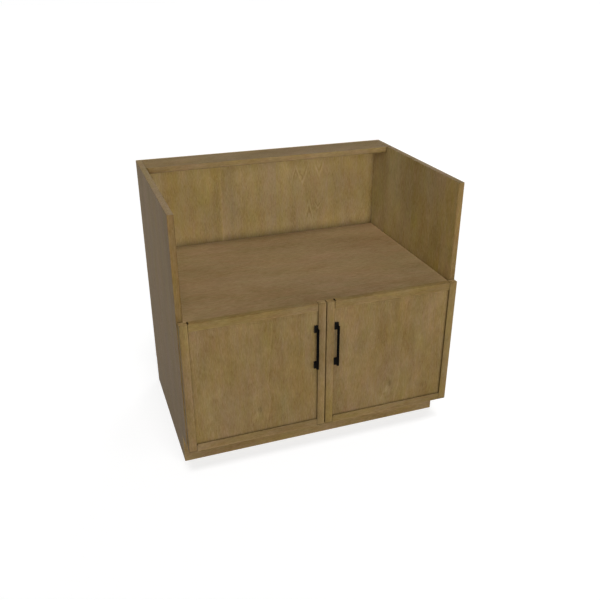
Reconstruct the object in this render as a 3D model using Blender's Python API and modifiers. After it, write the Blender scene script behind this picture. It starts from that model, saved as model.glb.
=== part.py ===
"""Farmhouse sink base cabinet: an open-topped oak box with a sink deck over a pair of slim-framed doors.

Metres, +Z up. The front faces -Y and the origin lies on the floor, under the middle of the whole object.
"""

import math

import bmesh
import bpy
from mathutils import Matrix, Vector

# Clearance between pieces that touch, and round a pin that turns
FIT = 0.0003
RUNNING_FIT = 0.0001

# Box
CABINET_WIDTH = 0.9144
CABINET_DEPTH = 0.6096
CABINET_HEIGHT = 0.8763
BOARD_THICKNESS = 0.01905
BACK_THICKNESS = 0.00635
BOARD_EASE = 0.0006

# Sink bay, toe space and the pieces that carry the deck
DECK_DROP = 0.3302
TOP_RAIL_DEPTH = 0.1111
TOP_RAIL_CORNER = 0.010
TOE_HEIGHT = 0.1016
TOE_RECESS = 0.06985
FRONT_RAIL_HEIGHT = 0.0508
CLEAT_HEIGHT = 0.0381

# Doors
DOOR_THICKNESS = 0.01905
DOOR_GAP = 0.00275
DOOR_REVEAL = 0.0025
DOOR_TOP_OVER_DECK = 0.00635
MEETING_GAP = 0.003
FRAME_WIDTH = 0.0254
FRAME_EASE = 0.001
PANEL_RECESS = 0.006
TONGUE_THICKNESS = 0.006
TONGUE_LENGTH = 0.008
TENON_SHOULDER = 0.0015
NOTCH_WIDTH = 0.0045
NOTCH_DEPTH = 0.009
NOTCH_SKIN = 0.0015
FOOT_NOTCH_DEPTH = 0.003

# Pulls
PULL_CENTRES = 0.128
PULL_DROP = 0.087
PULL_PROJECTION = 0.0197
PULL_BAR = 0.007
PULL_FOOT_WIDTH = 0.0138
PULL_FOOT_HEIGHT = 0.026
PULL_NECK_WIDTH = 0.0056
PULL_BAR_END = 0.0065
PULL_STEM_INSET = 0.0024
PULL_FOOT_SINK = 0.002
PULL_EASE = 0.0005

# Door bumpers
BUMPER_RADIUS = 0.0045
BUMPER_EDGE = 0.0095

# Concealed hinges: cup and pin in the door
HINGE_END = 0.090
CUP_RADIUS = 0.0175
CUP_EDGE = 0.003
CUP_DEPTH = 0.0117
CUP_WALL = 0.0008
FLANGE_THICKNESS = 0.0012
FLANGE_WIDTH = 0.026
FLANGE_HEIGHT = 0.062
FLANGE_CORNER = 0.008
PIN_INSET = 0.0074
PIN_FROM_BACK = 0.00755
PIN_RADIUS = 0.001
LUG_THICKNESS = 0.0012
LUG_HALF_WIDTH = 0.0022

# Concealed hinges: arm and mounting plate on the side panel
ARM_SHEET = 0.0012
ARM_WIDTH = 0.009
ARM_BEND = 0.003
ARM_EYE_TURN = math.radians(280)
CHANNEL_WIDTH = 0.013
CHANNEL_WALL = 0.0016
PLATE_THICKNESS = 0.002
PLATE_SETBACK = 0.037
PLATE_DEPTH = 0.020
PLATE_HEIGHT = 0.046
PLATE_CORNER = 0.004
PLATE_HOLE_SPACING = 0.032
PLATE_HOLE_RADIUS = 0.0026
RIDGE_HEIGHT = 0.005
RIDGE_LENGTH = 0.044

# Mesh fineness
EASE_STEPS = 2
CORNER_STEPS = 4
RAIL_CORNER_STEPS = 8
CUP_STEPS = 32
PIN_STEPS = 16
HOLE_STEPS = 16
BUMPER_STEPS = 24
EYE_STEPS = 20
BEND_STEPS = 5
WELD = 0.00001
SHARP = math.radians(35)

# Levels and places that follow from the sizes
HALF_WIDTH = CABINET_WIDTH / 2
INNER_HALF = HALF_WIDTH - BOARD_THICKNESS
REACH = DOOR_GAP + DOOR_THICKNESS + PULL_PROJECTION
FRONT = (REACH - CABINET_DEPTH) / 2
BACK = FRONT + CABINET_DEPTH
BACK_INNER = BACK - BACK_THICKNESS - FIT
DECK_TOP = CABINET_HEIGHT - DECK_DROP
DECK_UNDER = DECK_TOP - BOARD_THICKNESS
CLEAT_INNER = INNER_HALF - FIT - BOARD_THICKNESS
DOOR_BACK = FRONT - DOOR_GAP
DOOR_FRONT = DOOR_BACK - DOOR_THICKNESS
DOOR_BOTTOM = TOE_HEIGHT
DOOR_TOP = DECK_TOP + DOOR_TOP_OVER_DECK
DOOR_OUTER = HALF_WIDTH - DOOR_REVEAL
DOOR_INNER = MEETING_GAP / 2
GROOVE_DEPTH = TONGUE_LENGTH + FIT
PIN_X = DOOR_OUTER - PIN_INSET
PIN_Y = DOOR_BACK - PIN_FROM_BACK
EYE_RADIUS = PIN_RADIUS + RUNNING_FIT + ARM_SHEET / 2
PLATE_TOP = INNER_HALF - FIT - PLATE_THICKNESS
RIDGE_TOP = PLATE_TOP - RIDGE_HEIGHT
PLATE_MIDDLE = FRONT + PLATE_SETBACK

# Finishes: colour, roughness, metallic
OAK_SIDE = ((0.162, 0.125, 0.084), 0.55, 0.0)
OAK_BACK = ((0.242, 0.165, 0.071), 0.55, 0.0)
OAK_DECK = ((0.202, 0.130, 0.060), 0.50, 0.0)
OAK_DOOR = ((0.216, 0.147, 0.063), 0.50, 0.0)
OAK_EDGE = ((0.212, 0.146, 0.066), 0.55, 0.0)
PLYWOOD = ((0.480, 0.350, 0.200), 0.65, 0.0)
BLACK_METAL = ((0.008, 0.008, 0.009), 0.38, 0.6)
NICKEL = ((0.600, 0.580, 0.540), 0.28, 1.0)
BUMPER_CLEAR = ((0.750, 0.750, 0.720), 0.35, 0.0)

SIDES = {"left": -1, "right": 1}


def clear_scene():
    for old in list(bpy.data.objects):
        bpy.data.objects.remove(old, do_unlink=True)


def new_collection(name):
    group = bpy.data.collections.new(name)
    bpy.context.scene.collection.children.link(group)
    return group


clear_scene()
PARTS = new_collection("farmhouse_sink_base_cabinet")
CUTTERS = new_collection("cutters")


def finish(name, look):
    colour, roughness, metallic = look
    surface = bpy.data.materials.new(name + "_finish")
    surface.use_nodes = True
    shader = surface.node_tree.nodes["Principled BSDF"]
    shader.inputs["Base Color"].default_value = (*colour, 1.0)
    shader.inputs["Roughness"].default_value = roughness
    shader.inputs["Metallic"].default_value = metallic
    return surface


def add_object(name, shape, place, group):
    """Turns a bmesh into an object of the given collection and frees the bmesh."""
    mesh = bpy.data.meshes.new(name)
    shape.to_mesh(mesh)
    shape.free()
    thing = bpy.data.objects.new(name, mesh)
    thing.location = place
    group.objects.link(thing)
    return thing


def add_part(name, shape, place, look, carrier=None):
    """A named piece at its world place, carried by an empty where it moves."""
    piece = add_object(name, shape, place, PARTS)
    piece.data.materials.append(finish(name, look))
    if carrier:
        piece.parent = carrier
        piece.location = Vector(place) - carrier.location
    return piece


def add_cutter(name, shape, place):
    tool = add_object(name, shape, place, CUTTERS)
    tool.hide_render = True
    tool.display_type = "WIRE"
    return tool


def combine(piece, tool, operation):
    step = piece.modifiers.new(tool.name, "BOOLEAN")
    step.operation = operation
    step.object = tool
    step.solver = "EXACT"


def round_smooth(piece):
    piece.data.shade_smooth()
    piece.data.set_sharp_from_angle(angle=SHARP)


def cuboid(size):
    shape = bmesh.new()
    bmesh.ops.create_cube(shape, size=1.0)
    bmesh.ops.scale(shape, vec=Vector(size), verts=shape.verts)
    return shape


def ease_convex(shape, width):
    """Rounds every sharp outward edge and leaves inner corners as they are."""
    shape.normal_update()
    sharp = [edge for edge in shape.edges if edge.is_convex and edge.calc_face_angle() > SHARP]
    bmesh.ops.bevel(
        shape, geom=sharp, offset=width, segments=EASE_STEPS, profile=0.5, affect="EDGES", material=-1)


def round_corners(shape, axis, radius):
    """Rounds the four edges of a cuboid that run along one axis (0, 1 or 2)."""
    along = []
    for edge in shape.edges:
        run = edge.verts[1].co - edge.verts[0].co
        if abs(run[axis]) > run.length / 2:
            along.append(edge)
    bmesh.ops.bevel(shape, geom=along, offset=radius, segments=CORNER_STEPS,
                    profile=0.5, affect="EDGES", material=-1)


def rod(radius, length, steps, axis):
    """A closed cylinder about the origin along X, Y or Z (0, 1 or 2)."""
    shape = bmesh.new()
    bmesh.ops.create_cone(shape, cap_ends=True, segments=steps, radius1=radius, radius2=radius, depth=length)
    if axis == 0:
        bmesh.ops.rotate(shape, verts=shape.verts, matrix=Matrix.Rotation(math.radians(90), 3, "Y"))
    if axis == 1:
        bmesh.ops.rotate(shape, verts=shape.verts, matrix=Matrix.Rotation(math.radians(90), 3, "X"))
    return shape


def between(side, near, far):
    """Low and high X of a stretch given by its distances from the middle plane."""
    return sorted((side * near, side * far))


def corners(x_span, y_span, z_span):
    """Size and middle of the block that fills three spans."""
    spans = (x_span, y_span, z_span)
    size = Vector([high - low for low, high in spans])
    middle = Vector([(high + low) / 2 for low, high in spans])
    return size, middle


def add_board(name, x_span, y_span, z_span, look):
    size, middle = corners(x_span, y_span, z_span)
    shape = cuboid(size)
    ease_convex(shape, BOARD_EASE)
    return add_part(name, shape, middle, look)


def add_block_cutter(name, x_span, y_span, z_span):
    size, middle = corners(x_span, y_span, z_span)
    return add_cutter(name, cuboid(size), middle)


# The box


def build_side_panels():
    """Full-height panels with a notch at the foot that the toe-kick board closes."""
    for word, side in SIDES.items():
        size, middle = corners(
            between(side, INNER_HALF, HALF_WIDTH), (FRONT, BACK_INNER), (0, CABINET_HEIGHT))
        panel = add_part(word + "_side_panel", cuboid(size), middle, OAK_SIDE)
        notch = add_block_cutter(
            word + "_toe_notch",
            between(side, INNER_HALF - BOARD_THICKNESS, HALF_WIDTH + BOARD_THICKNESS),
            (FRONT - BOARD_THICKNESS, FRONT + TOE_RECESS + BOARD_THICKNESS + FIT),
            (-TOE_HEIGHT, TOE_HEIGHT))
        combine(panel, notch, "DIFFERENCE")
        ease = panel.modifiers.new("ease", "BEVEL")
        ease.width = BOARD_EASE
        ease.segments = EASE_STEPS
        ease.limit_method = "ANGLE"


def add_top_rail(x_span):
    """Flat rail along the back, level with the side panels' tops, with rounded front corners."""
    size, middle = corners(
        x_span, (BACK_INNER - TOP_RAIL_DEPTH, BACK_INNER), (CABINET_HEIGHT - BOARD_THICKNESS, CABINET_HEIGHT))
    shape = cuboid(size)
    front_corners = []
    for edge in shape.edges:
        start, end = (vert.co for vert in edge.verts)
        if max(start.y, end.y) < 0 and start.x == end.x:
            front_corners.append(edge)
    bmesh.ops.bevel(
        shape, geom=front_corners, offset=TOP_RAIL_CORNER, segments=RAIL_CORNER_STEPS,
        profile=0.5, affect="EDGES", material=-1)
    ease_convex(shape, BOARD_EASE)
    add_part("back_top_rail", shape, middle, OAK_EDGE)


def build_boards():
    """Floor, deck, back, rails and cleats that tie the two side panels together."""
    across = (-INNER_HALF + FIT, INNER_HALF - FIT)
    add_board("cabinet_floor", across, (FRONT, BACK_INNER), (TOE_HEIGHT, TOE_HEIGHT + BOARD_THICKNESS), PLYWOOD)
    add_board("sink_deck", across, (FRONT, BACK_INNER), (DECK_UNDER, DECK_TOP), OAK_DECK)
    add_board("back_panel", (-HALF_WIDTH, HALF_WIDTH), (BACK - BACK_THICKNESS, BACK),
              (TOE_HEIGHT, CABINET_HEIGHT), OAK_BACK)
    add_top_rail(across)
    add_board("toe_kick_board", (-HALF_WIDTH, HALF_WIDTH),
              (FRONT + TOE_RECESS, FRONT + TOE_RECESS + BOARD_THICKNESS), (0, TOE_HEIGHT - FIT), OAK_EDGE)

    under_deck = DECK_UNDER - FIT
    add_board("deck_front_rail", across, (FRONT, FRONT + BOARD_THICKNESS),
              (under_deck - FRONT_RAIL_HEIGHT, under_deck), PLYWOOD)
    cleat_level = (under_deck - CLEAT_HEIGHT, under_deck)
    for word, side in SIDES.items():
        add_board(word + "_deck_cleat", between(side, CLEAT_INNER, INNER_HALF - FIT),
                  (FRONT + BOARD_THICKNESS + FIT, BACK_INNER), cleat_level, PLYWOOD)
    add_board("back_deck_cleat", (-CLEAT_INNER + FIT, CLEAT_INNER - FIT),
              (BACK_INNER - BOARD_THICKNESS, BACK_INNER), cleat_level, PLYWOOD)


# The doors


def grooved_bar(length):
    """Frame member along +Z: front face at Y = 0, outer edge at X = 0, panel groove in the inner edge."""
    groove_front = PANEL_RECESS - FIT
    groove_back = PANEL_RECESS + TONGUE_THICKNESS + FIT
    groove_floor = FRAME_WIDTH - GROOVE_DEPTH
    section = [
        (0, 0), (FRAME_WIDTH, 0), (FRAME_WIDTH, groove_front), (groove_floor, groove_front),
        (groove_floor, groove_back), (FRAME_WIDTH, groove_back), (FRAME_WIDTH, DOOR_THICKNESS),
        (0, DOOR_THICKNESS)]
    shape = bmesh.new()
    outline = shape.faces.new([shape.verts.new((x, y, 0)) for x, y in section])
    grown = bmesh.ops.extrude_face_region(shape, geom=[outline])
    lifted = [item for item in grown["geom"] if isinstance(item, bmesh.types.BMVert)]
    bmesh.ops.translate(shape, verts=lifted, vec=(0, 0, length))
    bmesh.ops.recalc_face_normals(shape, faces=shape.faces)
    ease_convex(shape, FRAME_EASE)
    return shape


def turn_bar(shape, across, along):
    """Lays a bar with its inner edge towards one direction and its length along another."""
    lay = Matrix((across, (0, 1, 0), along)).transposed().to_4x4()
    bmesh.ops.transform(shape, matrix=lay, verts=shape.verts)
    bmesh.ops.recalc_face_normals(shape, faces=shape.faces)


def add_stile(name, outer_x, inward, carrier):
    stile = grooved_bar(DOOR_TOP - DOOR_BOTTOM)
    turn_bar(stile, (inward, 0, 0), (0, 0, 1))
    return add_part(name, stile, (outer_x, DOOR_FRONT, DOOR_BOTTOM), OAK_DOOR, carrier)


def add_rail(name, left_x, right_x, outer_z, inward, carrier):
    """Rail between the stiles, with a stub tenon at each end for their grooves."""
    length = right_x - left_x - 2 * FIT
    rail = grooved_bar(length)
    turn_bar(rail, (0, 0, inward), (1, 0, 0))
    piece = add_part(name, rail, (left_x + FIT, DOOR_FRONT, outer_z), OAK_DOOR, carrier)
    tenon_level = sorted((
        outer_z + inward * TENON_SHOULDER,
        outer_z + inward * (FRAME_WIDTH - GROOVE_DEPTH - TENON_SHOULDER)))
    tenon = add_block_cutter(
        name + "_tenon",
        (left_x - TONGUE_LENGTH, right_x + TONGUE_LENGTH),
        (DOOR_FRONT + PANEL_RECESS, DOOR_FRONT + PANEL_RECESS + TONGUE_THICKNESS),
        tenon_level)
    combine(piece, tenon, "UNION")
    return piece


def add_door_panel(name, left_x, right_x, low_z, high_z, carrier):
    """Thick panel, flush with the frame's back, with a tongue round it for the frame's grooves."""
    size = (right_x - left_x + 2 * TONGUE_LENGTH, TONGUE_THICKNESS, high_z - low_z + 2 * TONGUE_LENGTH)
    shape = cuboid(size)
    shape.normal_update()
    rear = [face for face in shape.faces if face.normal.y > 0.5]
    bmesh.ops.inset_region(
        shape, faces=rear, thickness=TONGUE_LENGTH + FIT, use_boundary=True, use_even_offset=True)
    grown = bmesh.ops.extrude_face_region(shape, geom=rear)
    bmesh.ops.delete(shape, geom=rear, context="FACES_ONLY")
    pushed = [item for item in grown["geom"] if isinstance(item, bmesh.types.BMVert)]
    field = DOOR_THICKNESS - PANEL_RECESS - TONGUE_THICKNESS
    bmesh.ops.translate(shape, verts=pushed, vec=(0, field, 0))
    bmesh.ops.recalc_face_normals(shape, faces=shape.faces)
    middle = ((left_x + right_x) / 2, DOOR_FRONT + PANEL_RECESS + TONGUE_THICKNESS / 2, (low_z + high_z) / 2)
    return add_part(name, shape, middle, OAK_DOOR, carrier)


def pull_foot():
    """Flared four-sided foot along -Y, with the stem that reaches back to the recessed panel."""
    rise = PULL_PROJECTION - PULL_BAR
    slope = (PULL_FOOT_WIDTH - PULL_NECK_WIDTH) / rise
    top_width = PULL_NECK_WIDTH - slope * PULL_FOOT_SINK
    corner = math.sqrt(2)
    shape = bmesh.new()
    bmesh.ops.create_cone(
        shape, cap_ends=True, segments=4, radius1=PULL_FOOT_WIDTH / corner, radius2=top_width / corner,
        depth=rise + PULL_FOOT_SINK)
    bmesh.ops.rotate(shape, verts=shape.verts, matrix=Matrix.Rotation(math.radians(45), 3, "Z"))
    bmesh.ops.rotate(shape, verts=shape.verts, matrix=Matrix.Rotation(math.radians(90), 3, "X"))
    bmesh.ops.translate(shape, verts=shape.verts, vec=(0, -(rise + PULL_FOOT_SINK) / 2, 0))
    bmesh.ops.scale(shape, vec=(1, 1, PULL_FOOT_HEIGHT / PULL_FOOT_WIDTH), verts=shape.verts)
    shape.normal_update()
    base = [face for face in shape.faces if face.normal.y > 0.9]
    bmesh.ops.inset_region(
        shape, faces=base, thickness=PULL_STEM_INSET, use_boundary=True, use_even_offset=True)
    grown = bmesh.ops.extrude_face_region(shape, geom=base)
    bmesh.ops.delete(shape, geom=base, context="FACES_ONLY")
    stem = [item for item in grown["geom"] if isinstance(item, bmesh.types.BMVert)]
    bmesh.ops.translate(shape, verts=stem, vec=(0, PANEL_RECESS - FIT, 0))
    bmesh.ops.recalc_face_normals(shape, faces=shape.faces)
    ease_convex(shape, PULL_EASE)
    return shape


def add_pull(word, side, carrier):
    """Square bar on two flared feet, standing on the panel beside the meeting stile."""
    x = side * (DOOR_INNER + FRAME_WIDTH + FIT + PULL_FOOT_WIDTH / 2)
    middle_z = DOOR_TOP - PULL_DROP - PULL_CENTRES / 2
    bar = cuboid((PULL_BAR, PULL_BAR, PULL_CENTRES + 2 * PULL_BAR_END))
    ease_convex(bar, PULL_EASE)
    bar_y = DOOR_FRONT - PULL_PROJECTION + PULL_BAR / 2
    pull = add_part(word + "_door_pull", bar, (x, bar_y, middle_z), BLACK_METAL, carrier)
    for level in (-1, 1):
        foot_place = (x, DOOR_FRONT, middle_z + level * PULL_CENTRES / 2)
        foot = add_cutter(f"{word}_pull_foot_{level + 2}", pull_foot(), foot_place)
        combine(pull, foot, "UNION")


def add_bumpers(word, side, carrier):
    """Pads in the meeting corners that the door closes on."""
    thickness = DOOR_GAP - 2 * FIT
    middles = {"lower": DOOR_BOTTOM + BUMPER_EDGE, "upper": DECK_UNDER + BUMPER_EDGE}
    for level, z in middles.items():
        place = (side * (DOOR_INNER + BUMPER_EDGE), FRONT - DOOR_GAP / 2, z)
        pad = add_part(f"{word}_door_{level}_bumper", rod(BUMPER_RADIUS, thickness, BUMPER_STEPS, 1),
                       place, BUMPER_CLEAR, carrier)
        round_smooth(pad)


# The hinges


def cup_bore(name, x, z):
    """Round pocket in the door's back for a hinge cup."""
    depth = CUP_DEPTH + FIT
    bore = rod(CUP_RADIUS + FIT, 2 * depth, CUP_STEPS, 1)
    return add_cutter(name, bore, (x, DOOR_BACK, z))


def add_hinge_cup(name, side, x, z, carrier):
    """Turned cup with a flange on the door's back and two lugs that hold the pin."""
    inner = CUP_RADIUS - CUP_WALL
    rim = FIT + FLANGE_THICKNESS / 2
    profile = [
        (0, CUP_WALL - CUP_DEPTH), (inner, CUP_WALL - CUP_DEPTH), (inner, rim),
        (CUP_RADIUS, rim), (CUP_RADIUS, -CUP_DEPTH), (0, -CUP_DEPTH)]
    shape = bmesh.new()
    points = [shape.verts.new((radius, 0, level)) for radius, level in profile]
    for first, second in zip(points, points[1:]):
        shape.edges.new((first, second))
    cup = add_part(name, shape, (x, DOOR_BACK, z), NICKEL, carrier)
    cup.rotation_euler = (math.radians(-90), 0, 0)
    turn = cup.modifiers.new("turn", "SCREW")
    turn.steps = CUP_STEPS
    turn.render_steps = CUP_STEPS
    turn.use_merge_vertices = True
    turn.merge_threshold = WELD

    plate = cuboid((FLANGE_WIDTH, FLANGE_THICKNESS, FLANGE_HEIGHT))
    round_corners(plate, 1, FLANGE_CORNER)
    flange = add_cutter(name + "_flange", plate, (x, DOOR_BACK + FIT + FLANGE_THICKNESS / 2, z))
    mouth = add_cutter(
        name + "_mouth", rod(inner + CUP_WALL / 2, CUP_DEPTH, CUP_STEPS, 1), (x, DOOR_BACK, z))
    combine(flange, mouth, "DIFFERENCE")
    combine(cup, flange, "UNION")

    lug_floor = DOOR_BACK - CUP_DEPTH + CUP_WALL / 2
    pin_x = side * PIN_X
    lug_start = ARM_WIDTH / 2 + FIT
    for level in (-1, 1):
        lug = add_block_cutter(
            f"{name}_lug_{level + 2}",
            (pin_x - LUG_HALF_WIDTH, pin_x + LUG_HALF_WIDTH),
            (lug_floor, PIN_Y + LUG_HALF_WIDTH),
            sorted((z + level * lug_start, z + level * (lug_start + LUG_THICKNESS))))
        combine(cup, lug, "UNION")
    pin_hole = add_cutter(
        name + "_pin_hole", rod(PIN_RADIUS + RUNNING_FIT, CUP_RADIUS, PIN_STEPS, 2), (pin_x, PIN_Y, z))
    combine(cup, pin_hole, "DIFFERENCE")


def arm_path(side, reach, end):
    """Middle line of the arm's sheet, seen from above: rolled eye, crank and straight run to the rear."""
    path = []
    for step in range(EYE_STEPS + 1):
        angle = math.radians(270) - ARM_EYE_TURN * (1 - step / EYE_STEPS)
        path.append((EYE_RADIUS * math.cos(angle), EYE_RADIUS * math.sin(angle)))
    for step in range(BEND_STEPS + 1):
        angle = math.radians(-90 + 90 * step / BEND_STEPS)
        path.append((
            reach - ARM_BEND + ARM_BEND * math.cos(angle),
            ARM_BEND - EYE_RADIUS + ARM_BEND * math.sin(angle)))
    path.append((reach, end))
    return [(side * -x, y) for x, y in path]


def add_hinge_arm(name, side, z):
    """Bent sheet arm: it hooks round the side panel's front edge from the pin's eye to a channel on the plate."""
    web_x = RIDGE_TOP - FIT - CHANNEL_WALL / 2
    path = arm_path(side, PIN_X - web_x, PLATE_MIDDLE - PIN_Y)
    shape = bmesh.new()
    points = [shape.verts.new((x, y, -ARM_WIDTH / 2)) for x, y in path]
    line = [shape.edges.new(pair) for pair in zip(points, points[1:])]
    grown = bmesh.ops.extrude_edge_only(shape, edges=line)
    lifted = [item for item in grown["geom"] if isinstance(item, bmesh.types.BMVert)]
    bmesh.ops.translate(shape, verts=lifted, vec=(0, 0, ARM_WIDTH))
    bmesh.ops.recalc_face_normals(shape, faces=shape.faces)
    arm = add_part(name, shape, (side * PIN_X, PIN_Y, z), NICKEL)
    sheet = arm.modifiers.new("sheet", "SOLIDIFY")
    sheet.thickness = ARM_SHEET
    sheet.offset = 0
    sheet.use_even_offset = True

    channel = add_block_cutter(
        name + "_channel",
        between(side, RIDGE_TOP - FIT - CHANNEL_WALL, PLATE_TOP - FIT),
        (PLATE_MIDDLE - RIDGE_LENGTH / 2, PLATE_MIDDLE + RIDGE_LENGTH / 2),
        (z - CHANNEL_WIDTH / 2, z + CHANNEL_WIDTH / 2))
    inner_half = CHANNEL_WIDTH / 2 - CHANNEL_WALL
    hollow = add_block_cutter(
        name + "_hollow",
        between(side, RIDGE_TOP - FIT, INNER_HALF),
        (PLATE_MIDDLE - RIDGE_LENGTH, PLATE_MIDDLE + RIDGE_LENGTH),
        (z - inner_half, z + inner_half))
    combine(channel, hollow, "DIFFERENCE")
    combine(arm, channel, "UNION")


def add_hinge_plate(name, side, z):
    """Mounting plate on the side panel: a winged base with two screw holes and the ridge under the arm."""
    foot = INNER_HALF - FIT
    base = cuboid((PLATE_THICKNESS, PLATE_DEPTH, PLATE_HEIGHT))
    round_corners(base, 0, PLATE_CORNER)
    plate = add_part(name, base, (side * (foot - PLATE_THICKNESS / 2), PLATE_MIDDLE, z), NICKEL)
    ridge_half = CHANNEL_WIDTH / 2 - CHANNEL_WALL - FIT
    ridge = add_block_cutter(
        name + "_ridge",
        between(side, foot - PLATE_THICKNESS / 4, RIDGE_TOP),
        (PLATE_MIDDLE - RIDGE_LENGTH / 2, PLATE_MIDDLE + RIDGE_LENGTH / 2),
        (z - ridge_half, z + ridge_half))
    combine(plate, ridge, "UNION")
    for level in (-1, 1):
        hole = add_cutter(
            f"{name}_hole_{level + 2}", rod(PLATE_HOLE_RADIUS, PLATE_HEIGHT, HOLE_STEPS, 0),
            (side * foot, PLATE_MIDDLE, z + level * PLATE_HOLE_SPACING / 2))
        combine(plate, hole, "DIFFERENCE")


def add_hinge_pin(name, side, z, carrier):
    length = ARM_WIDTH + 2 * (FIT + LUG_THICKNESS)
    pin = add_part(name, rod(PIN_RADIUS, length, PIN_STEPS, 2), (side * PIN_X, PIN_Y, z), NICKEL, carrier)
    round_smooth(pin)


def build_door(word, side):
    """One framed door with its pull, bumpers and two concealed hinges, carried by an empty on the hinge axis."""
    axis = bpy.data.objects.new(word + "_door_axis", None)
    axis.location = (side * PIN_X, PIN_Y, DOOR_BOTTOM)
    PARTS.objects.link(axis)
    name = word + "_door_"

    hinge_stile = add_stile(name + "hinge_stile", side * DOOR_OUTER, -side, axis)
    add_stile(name + "meeting_stile", side * DOOR_INNER, side, axis)
    left_x, right_x = between(side, DOOR_INNER + FRAME_WIDTH, DOOR_OUTER - FRAME_WIDTH)
    top_rail = add_rail(name + "top_rail", left_x, right_x, DOOR_TOP, -1, axis)
    bottom_rail = add_rail(name + "bottom_rail", left_x, right_x, DOOR_BOTTOM, 1, axis)
    panel = add_door_panel(
        name + "panel", left_x + FIT, right_x - FIT,
        DOOR_BOTTOM + FRAME_WIDTH + FIT, DOOR_TOP - FRAME_WIDTH - FIT, axis)
    notch = add_block_cutter(
        name + "rail_notch", (left_x - FIT, left_x + NOTCH_WIDTH),
        (DOOR_FRONT + NOTCH_SKIN, DOOR_BACK + DOOR_GAP), (DOOR_TOP - NOTCH_DEPTH, DOOR_TOP + NOTCH_DEPTH))
    combine(top_rail, notch, "DIFFERENCE")
    ledge = DOOR_BOTTOM + FRAME_WIDTH
    foot_notch = add_block_cutter(
        name + "foot_notch", (left_x - FIT, left_x + NOTCH_WIDTH),
        (DOOR_FRONT - DOOR_GAP, DOOR_FRONT + PANEL_RECESS), (ledge - FOOT_NOTCH_DEPTH, ledge + FOOT_NOTCH_DEPTH))
    combine(bottom_rail, foot_notch, "DIFFERENCE")
    add_pull(word, side, axis)
    add_bumpers(word, side, axis)

    cup_x = side * (DOOR_OUTER - CUP_EDGE - CUP_RADIUS)
    levels = {"lower": DOOR_BOTTOM + HINGE_END, "upper": DOOR_TOP - HINGE_END}
    for level, z in levels.items():
        hinge = f"{word}_{level}_hinge_"
        bore = cup_bore(hinge + "bore", cup_x, z)
        combine(hinge_stile, bore, "DIFFERENCE")
        combine(panel, bore, "DIFFERENCE")
        add_hinge_cup(hinge + "cup", side, cup_x, z, axis)
        add_hinge_pin(hinge + "pin", side, z, axis)
        add_hinge_arm(hinge + "arm", side, z)
        add_hinge_plate(hinge + "plate", side, z)


build_side_panels()
build_boards()
for door_word, door_side in SIDES.items():
    build_door(door_word, door_side)
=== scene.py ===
"""Farmhouse sink base cabinet: oak finishes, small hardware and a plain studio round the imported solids."""

import math
from functools import cached_property

import bmesh
import bpy
from bpy.props import FloatProperty, FloatVectorProperty, PointerProperty
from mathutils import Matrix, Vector


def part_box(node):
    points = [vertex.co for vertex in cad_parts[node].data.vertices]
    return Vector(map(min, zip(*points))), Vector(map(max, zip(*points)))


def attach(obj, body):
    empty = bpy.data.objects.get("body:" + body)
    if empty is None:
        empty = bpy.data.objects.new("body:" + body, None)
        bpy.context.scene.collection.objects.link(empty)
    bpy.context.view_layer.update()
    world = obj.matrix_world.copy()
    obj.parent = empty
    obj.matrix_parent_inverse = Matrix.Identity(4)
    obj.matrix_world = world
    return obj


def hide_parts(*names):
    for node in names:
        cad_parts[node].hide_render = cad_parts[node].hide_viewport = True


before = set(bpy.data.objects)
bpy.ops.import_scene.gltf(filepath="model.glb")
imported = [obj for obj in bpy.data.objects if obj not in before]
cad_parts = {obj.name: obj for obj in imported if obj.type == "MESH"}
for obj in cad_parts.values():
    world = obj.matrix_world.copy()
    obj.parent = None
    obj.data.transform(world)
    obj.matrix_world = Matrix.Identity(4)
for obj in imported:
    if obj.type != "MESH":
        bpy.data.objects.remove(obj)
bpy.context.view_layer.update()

bl_info = {
    "name": "Farmhouse Sink Base Cabinet",
    "version": (1, 0, 0),
    "blender": (4, 5, 0),
    "location": "3D View > Sidebar > Cabinet",
    "description": "Finishes, screws and a studio for an oak sink base cabinet",
    "category": "Object",
}

# The way along X in which each side panel's inner face looks, and the two heights of hinges and bumpers.
HANDS = {"left": 1, "right": -1}
LEVELS = ("lower", "upper")
UP = Vector((0, 0, 1))
REAR = Vector((0, 1, 0))

# Shares of the mean red, green and blue in the darkest and the palest wood, and where plain wood lies
# between the dark at 0 and the pale at 1.
OAK_DARK = (0.60, 0.54, 0.38)
OAK_PALE = (1.355, 1.41, 1.55)
OAK_TONE = 0.53
# How much a warmer streak changes red and green, and a more golden one changes blue.
WARM_RED = 0.085
WARM_GREEN = -0.095
GOLD_BLUE = -0.60
# How far along the grain the figure of one veneer leaf can lie from the next one's, in metres.
LEAF_SHIFT = 5.0

# Pointed growth rings of the back panel: place across, height of the point, length, half width and strength.
# The point hangs where the length is below zero.
BACK_FLAMES = (
    (0.1466, 0.7400, -0.058, 0.0210, 0.22),
    (0.1200, 0.8030, 0.046, 0.0150, 0.20),
    (0.2128, 0.7590, -0.054, 0.0180, 0.22),
    (0.1733, 0.6580, 0.068, 0.0175, 0.22),
    (0.2104, 0.6337, -0.026, 0.0160, 0.20),
)
# Upright streaks of the back panel: place across, reach and strength, below zero where the wood is paler.
BACK_STREAKS = (
    (-0.1685, 0.0110, -0.19),
    (-0.0928, 0.0070, -0.08),
    (-0.1280, 0.0600, 0.14),
    (-0.2320, 0.0300, 0.09),
    (0.0720, 0.0600, -0.10),
    (0.0200, 0.2000, 0.12),
)
# The same on a door panel, from its left edge.
PANEL_STREAKS = (
    (0.0550, 0.0600, -0.09),
    (0.2180, 0.0360, 0.10),
    (0.2870, 0.0260, 0.09),
)
# A door panel's pin knot: its place from the panel's left edge and from the door's foot, and its size.
PANEL_KNOT = (0.2105, 0.1045, 0.030)

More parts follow.
